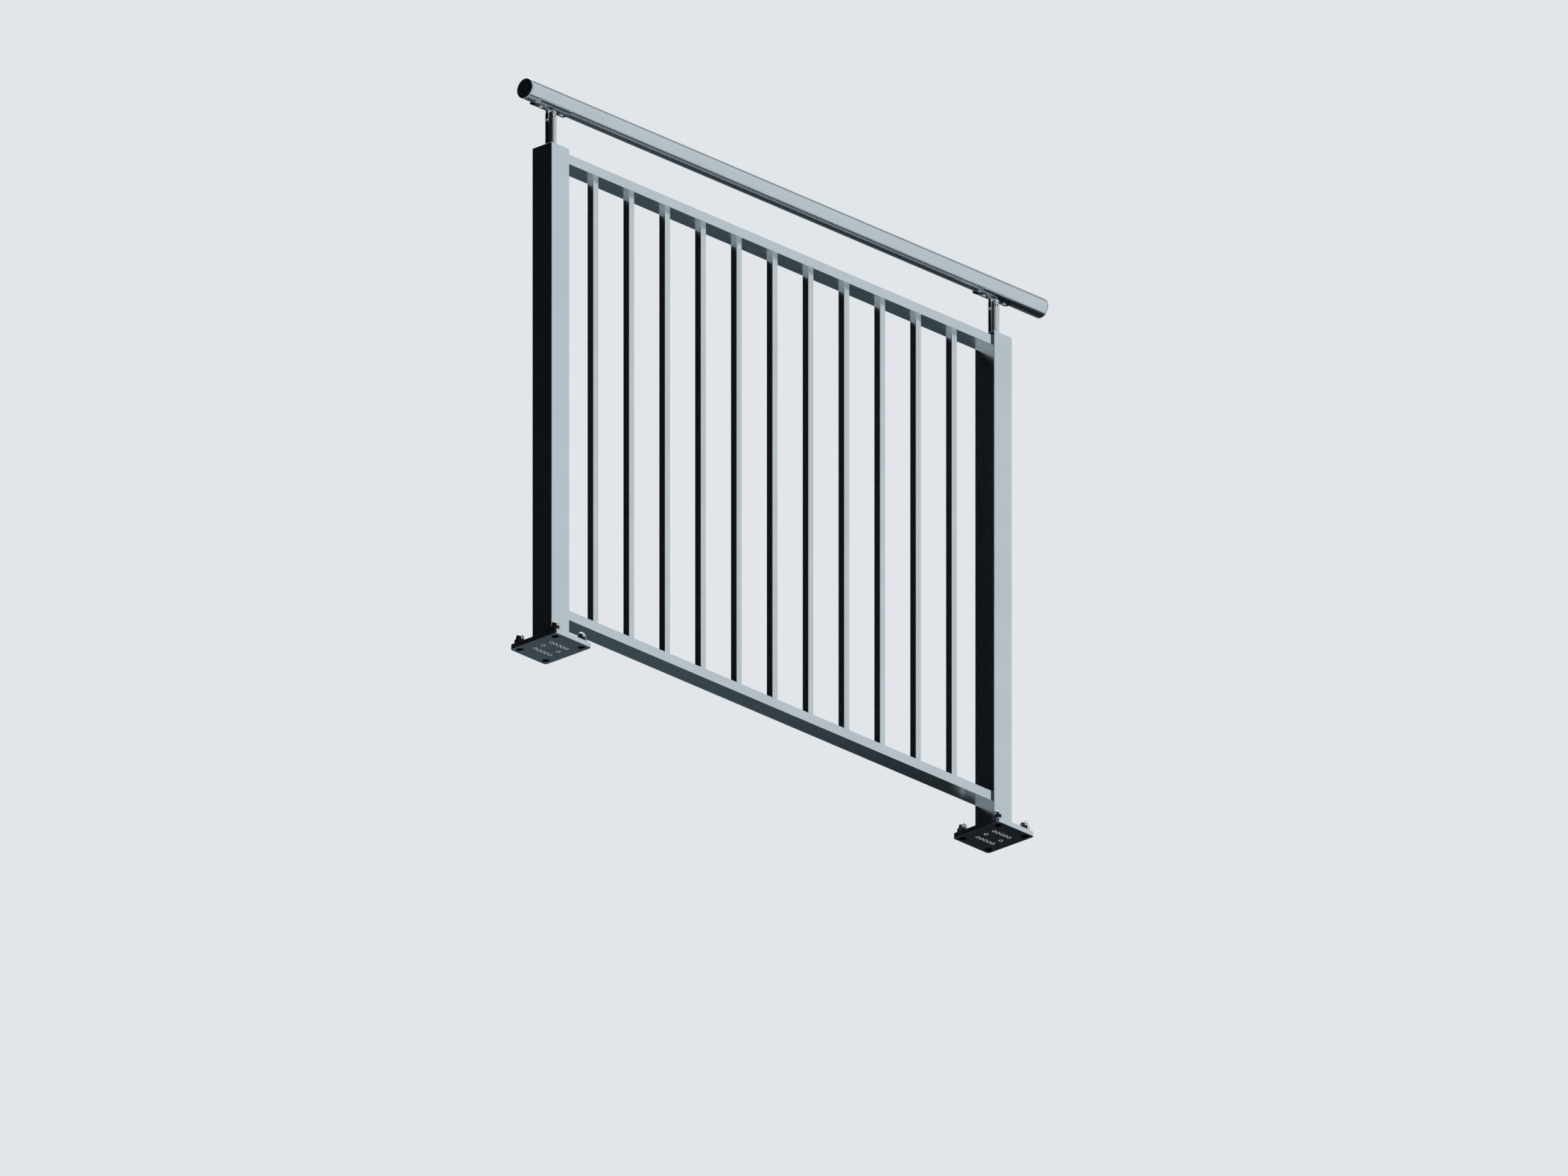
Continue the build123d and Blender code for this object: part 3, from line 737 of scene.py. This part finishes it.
# The saddles' steel is coloured darker than the other stainless parts: painted shade.
saddle_steel_painted_shade = turned_steel("saddle_steel_painted_shade", 0.20, colour=(0.42, 0.47, 0.50))
for side, x in post_x.items():
    saddle_bm = bmesh.new()
    ends = (x - saddle_half_length, x + saddle_half_length)
    section_points = [
        (ends[0], 0, -rail_radius), (ends[1], 0, -rail_radius),
        (ends[1], 0, -saddle_outer), (ends[0], 0, -saddle_outer),
    ]
    section = saddle_bm.faces.new([saddle_bm.verts.new(p) for p in section_points])
    bmesh.ops.rotate(saddle_bm, cent=(0, 0, 0), verts=saddle_bm.verts,
                     matrix=Matrix.Rotation(radians(-45), 3, "X"))
    bmesh.ops.spin(saddle_bm, geom=[section], cent=(0, 0, 0), axis=(1, 0, 0), steps=24,
                   angle=radians(90), use_merge=False)
    bmesh.ops.remove_doubles(saddle_bm, verts=saddle_bm.verts, dist=1e-6)
    long_edges = [e for e in saddle_bm.edges if lies_along(e, 0)
                  and abs(e.verts[0].co.y) > saddle_outer * sin(radians(44.9))]
    round_edges(saddle_bm, long_edges, saddle_edge_break, 2)
    bmesh.ops.translate(saddle_bm, vec=(0, 0, rail_z), verts=saddle_bm.verts)
    saddle = loose_object(f"{side}_saddle_plate", saddle_bm)
    lug = round_bar(f"{side}_saddle_lug", stem_radius, -lug_thickness / 2, lug_thickness / 2, 64,
                    Matrix.Translation((x, 0, hinge_z)) @ along_y)
    web = loose_block(f"{side}_saddle_web", (2 * stem_radius, lug_thickness, web_height),
                      (x, 0, hinge_z + web_height / 2))
    cut(lug, web, "UNION")
    cut(saddle, lug, "UNION")
    fit(saddle, saddle_steel_painted_shade, "stainless_steel", f"{side}_saddle")

# The saddle screws: turned stainless screws with domed heads and small hexagon sockets,
# two through each saddle, up into the handrail's tube.
saddle_screw_offset = 0.028
saddle_screw_outline = [
    (0, 0.012), (0.0025, 0.012), (0.0025, 0.0), (0.0043, 0.0), (0.0043, -0.0006),
    (0.0041, -0.0014), (0.0036, -0.0022), (0.0028, -0.0029), (0.0018, -0.0033), (0, -0.0034),
]
saddle_screw_bm = bmesh.new()
turned(saddle_screw_bm, saddle_screw_outline, 48)
saddle_screw = loose_object("saddle_screw", saddle_screw_bm)
saddle_screw_socket = hexagon_object("saddle_screw_socket", 0.0030, -0.006, -0.0014)
cut(saddle_screw, saddle_screw_socket, "DIFFERENCE", nut_steel, socket_painted_shade)
saddle_screws = copies(
    "dome_headed_saddle_screws", saddle_screw,
    [Matrix.Translation((x + offset, 0, rail_z - saddle_outer)) for x in post_x.values()
     for offset in (-saddle_screw_offset, saddle_screw_offset)],
)
fit(saddle_screws, nut_steel, "stainless_steel", "saddle_screws")

# The hinge bolts: M6 socket bolts through fork and lug, heads sunk in the counterbore on
# the front, tightened once the handrail lies at the right slope.
bolt_radius = 0.0030
bolt_length = 0.0160
bolt_head_radius = 0.0050
bolt_head_height = 0.0040
bolt_edge_break = 0.0004
bolt_steel = turned_steel("bolt_steel", 0.22, colour=(0.72, 0.74, 0.76))
bolt_outline = [
    (0, -bolt_length), (bolt_radius - bolt_edge_break, -bolt_length),
    (bolt_radius, -bolt_length + bolt_edge_break), (bolt_radius, 0.0),
    (bolt_head_radius, 0.0), (bolt_head_radius, bolt_head_height - bolt_edge_break),
    (bolt_head_radius - bolt_edge_break, bolt_head_height), (0, bolt_head_height),
]
bolt_bm = bmesh.new()
turned(bolt_bm, bolt_outline, 64)
bolt = loose_object("hinge_bolt", bolt_bm)
bolt_socket = hexagon_object("hinge_bolt_socket", 0.0040, 0.0016, 0.006)
cut(bolt, bolt_socket, "DIFFERENCE", bolt_steel, socket_painted_shade)
hinge_bolts = copies(
    "socket_hinge_bolts", bolt,
    [Matrix.Translation((x, -counterbore_floor, hinge_z)) @ along_y for x in post_x.values()],
)
fit(hinge_bolts, bolt_steel, "stainless_steel", "hinge_bolts")

# The handrail: a 40 mm aluminium tube with a 2 mm wall, drawn through a die and satin
# anodised along its length.
rail_faces = {"left": -0.073, "right": 1.3675}
end_cap_disc = 0.0040
rail_bore_radius = 0.0180
rail_edge_break = 0.0002
tube_start = rail_faces["left"] + end_cap_disc
tube_end = rail_faces["right"] - end_cap_disc
rail_edge_radius = rail_radius - rail_edge_break
tube_outline = [
    (rail_bore_radius, tube_start), (rail_edge_radius, tube_start),
    (rail_radius, tube_start + rail_edge_break), (rail_radius, tube_end - rail_edge_break),
    (rail_edge_radius, tube_end), (rail_bore_radius, tube_end), (rail_bore_radius, tube_start),
]
along_x = Matrix.Rotation(pi / 2, 4, "Y")
tube_bm = bmesh.new()
turned(tube_bm, tube_outline, 128, Matrix.Translation((0, 0, rail_z)) @ along_x)
handrail = loose_object("handrail_round_tube", tube_bm)
handrail_finish = satin_aluminium("handrail_aluminium", "x")
fit(handrail, handrail_finish, "satin_aluminium", "handrail_tube")

# The handrail's end caps: turned aluminium discs with softly rounded rims, a fine joint
# groove against the tube, and two crossing ribs that hold them in its bore.
groove_radius = 0.0191
rib_start = 0.0035
rib_end = 0.0180
rib_span = 0.0356
rib_thickness = 0.0040
end_cap_outline = [
    (0, 0), (0.0190, 0), (0.0196, 0.00015), (0.0199, 0.00055), (rail_radius, 0.001),
    (rail_radius, 0.0033), (rail_edge_radius, 0.0035), (groove_radius, 0.0035),
    (groove_radius, end_cap_disc), (0, end_cap_disc),
]
for side, inward in (("left", 1), ("right", -1)):
    face_x = rail_faces[side]
    end_cap_bm = bmesh.new()
    turned(end_cap_bm, end_cap_outline, 128,
           Matrix.Translation((face_x, 0, rail_z)) @ Matrix.Rotation(inward * pi / 2, 4, "Y"))
    end_cap = loose_object(f"{side}_turned_end_cap", end_cap_bm)
    rib_middle = (face_x + inward * (rib_start + rib_end) / 2, 0, rail_z)
    rib_length = rib_end - rib_start
    ribs = loose_block(f"{side}_end_cap_ribs", (rib_length, rib_span, rib_thickness), rib_middle)
    cross_rib = loose_block(f"{side}_end_cap_cross_rib", (rib_length, rib_thickness, rib_span),
                            rib_middle)
    cut(ribs, cross_rib, "UNION")
    cut(end_cap, ribs, "UNION")
    fit(end_cap, handrail_finish, "satin_aluminium", f"{side}_handrail_end_cap")
